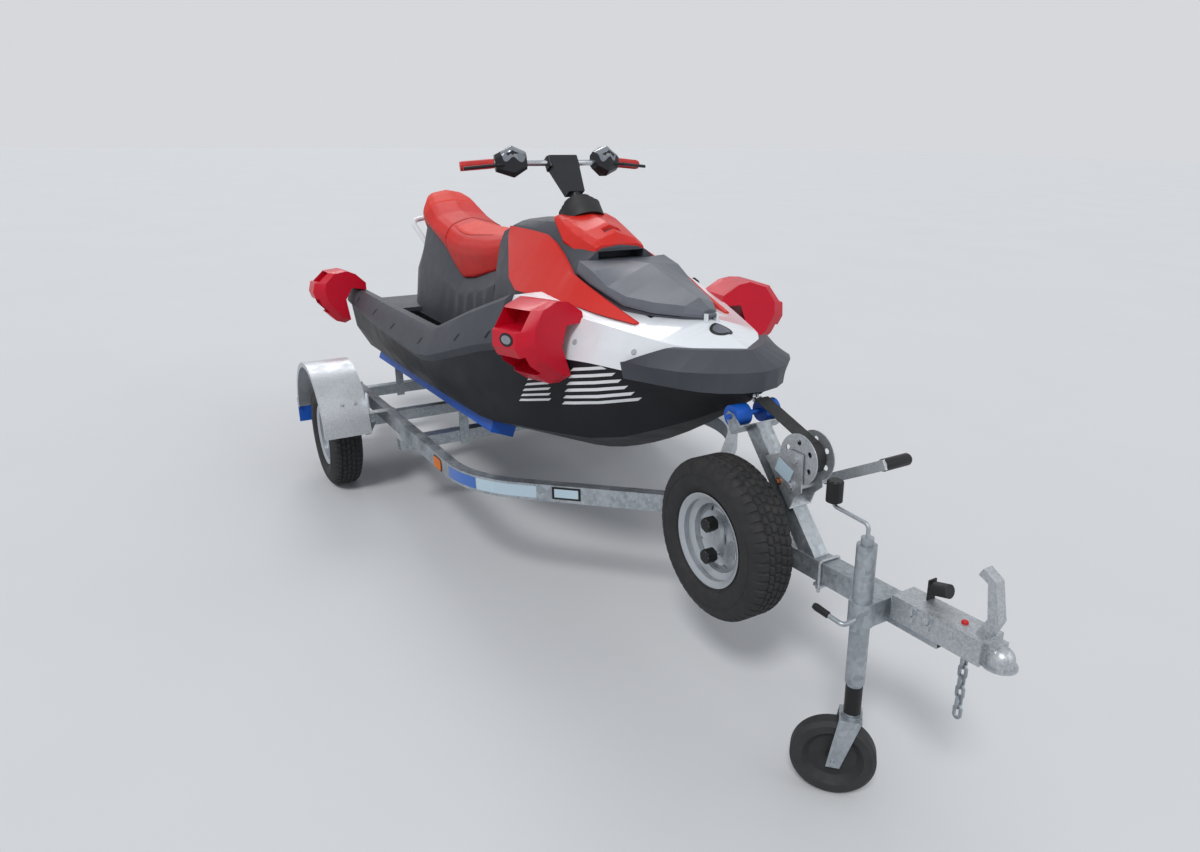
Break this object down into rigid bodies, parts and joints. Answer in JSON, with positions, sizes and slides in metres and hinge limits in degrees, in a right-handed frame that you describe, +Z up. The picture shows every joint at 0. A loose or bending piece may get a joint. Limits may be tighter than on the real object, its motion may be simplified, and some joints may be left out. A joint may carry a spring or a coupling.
{
  "type": "personal watercraft on trailer",
  "caption": "Small personal watercraft with footwells, saddle seat and handlebar, resting on a galvanized single-axle road trailer with winch, spare wheel and jockey wheel.",
  "frame": {"origin": "under the middle of the bounding box, on the ground", "axes": "+X towards the bow and the tow coupling, +Y to port, +Z up"},
  "size_m": [3.6304, 1.78, 1.5482],
  "materials": {
    "hull_black": "moulded, semi-gloss",
    "deck_grey": "moulded, matt",
    "deck_white": "moulded, glossy",
    "seat_red": "marine vinyl",
    "trim_red": "moulded, satin",
    "lid_grey": "moulded, satin",
    "rubber_black": "matt",
    "column_black": "textured",
    "bar_silver": "satin",
    "grip_red": "ribbed",
    "fender_red": "moulded, satin",
    "pump_alloy": "cast",
    "impeller_steel": "machined",
    "bucket_black": "moulded",
    "eye_steel": "polished",
    "engine_grey": "painted",
    "galvanized": "hot-dip galvanized",
    "zinc": "zinc plated",
    "bunk_blue": "moulded, matt",
    "lamp_red": "lens",
    "tyre_rubber": "matt tread",
    "rim_silver": "silver paint",
    "jockey_rubber": "matt"
  },
  "bodies": {
    "watercraft_on_trailer": {"hull": "hull_black", "gunwales": "deck_grey", "bow_bumper": "deck_grey", "bow_cover": "deck_white", "seat_base": "deck_grey", "seat": "seat_red", "console": "deck_grey", "knee_panels": "trim_red", "console_cover": "trim_red", "rear_deck": "deck_grey", "grab_handle": "deck_white", "column_boot": "rubber_black", "front_fenders": "fender_red", "rear_fenders": "fender_red", "jet_pump": "pump_alloy", "engine": "engine_grey", "intake_grate": "bucket_black", "bow_eye": "eye_steel", "drawbar": "galvanized", "rails": "galvanized", "crossbeams": "galvanized", "bunk_posts": "galvanized", "bunks": "bunk_blue", "axle": "galvanized", "mudguards": "galvanized", "mud_flaps": "bunk_blue", "tail_lamps": "lamp_red", "winch_post": "galvanized", "winch_frame": "zinc", "winch_drum": "zinc", "winch_strap": "rubber_black", "winch_crank": "zinc", "bow_roller": "bunk_blue", "spare_clamp": "galvanized", "spare_tyre": "tyre_rubber", "spare_rim": "rim_silver", "jockey_tube": "galvanized", "jockey_clamp": "galvanized", "jockey_leg": "galvanized", "coupling": "zinc", "coupling_lever": "zinc", "safety_chain": "galvanized", "plug_holder": "rubber_black"},
    "port_wheel": {"tyre_port": "tyre_rubber", "rim_port": "rim_silver"},
    "starboard_wheel": {"tyre_starboard": "tyre_rubber", "rim_starboard": "rim_silver"},
    "steering": {"steering_column": "column_black", "handlebar": "bar_silver", "grips": "grip_red", "switch_housings": "column_black", "control_levers": "column_black"},
    "jet_nozzle": {"steering_nozzle": "pump_alloy"},
    "reverse_scoop": {"reverse_bucket": "bucket_black"},
    "impeller_shaft": {"impeller": "impeller_steel"},
    "bow_lid": {"storage_lid": "lid_grey"},
    "jockey_swivel": {"jockey_fork": "galvanized"},
    "jockey_roller": {"jockey_wheel": "jockey_rubber"}
  },
  "joints": [
    {"name": "port_wheel_spin", "type": "hinge", "parent": "watercraft_on_trailer", "child": "port_wheel", "pos_m": [-1.10474, 0.782, 0.243], "axis": [0, 1, 0], "continuous": true},
    {"name": "starboard_wheel_spin", "type": "hinge", "parent": "watercraft_on_trailer", "child": "starboard_wheel", "pos_m": [-1.10474, -0.782, 0.243], "axis": [0, 1, 0], "continuous": true},
    {"name": "handlebar_turn", "type": "hinge", "parent": "watercraft_on_trailer", "child": "steering", "pos_m": [-0.25888, 0, 1.50156], "axis": [-0.5664, 0, 0.8241], "range_deg": [-20, 20]},
    {"name": "nozzle_turn", "type": "hinge", "parent": "watercraft_on_trailer", "child": "jet_nozzle", "pos_m": [-1.67322, 0, 0.41361], "axis": [-0.061, 0, 0.9981], "range_deg": [-20, 20]},
    {"name": "reverse_swing", "type": "hinge", "parent": "watercraft_on_trailer", "child": "reverse_scoop", "pos_m": [-1.62131, 0, 0.41679], "axis": [0, -1, 0], "range_deg": [0, 55]},
    {"name": "impeller_spin", "type": "hinge", "parent": "watercraft_on_trailer", "child": "impeller_shaft", "pos_m": [-1.55144, 0, 0.42106], "axis": [0.9981, 0, 0.061], "continuous": true},
    {"name": "lid_lift", "type": "hinge", "parent": "watercraft_on_trailer", "child": "bow_lid", "pos_m": [0.69887, 0, 1.09069], "axis": [0, 1, 0], "range_deg": [0, 60]},
    {"name": "jockey_swivel_turn", "type": "hinge", "parent": "watercraft_on_trailer", "child": "jockey_swivel", "pos_m": [1.49664, -0.098, 0.21803], "axis": [-0.061, 0, 0.9981], "continuous": true},
    {"name": "jockey_wheel_spin", "type": "hinge", "parent": "jockey_swivel", "child": "jockey_roller", "pos_m": [1.47549, -0.12392, 0.10853], "axis": [-0.6807, 0.7314, -0.0416], "continuous": true}
  ],
  "couplings": [
    {"joint": "nozzle_turn", "follows": "handlebar_turn", "ratio": 1}
  ]
}
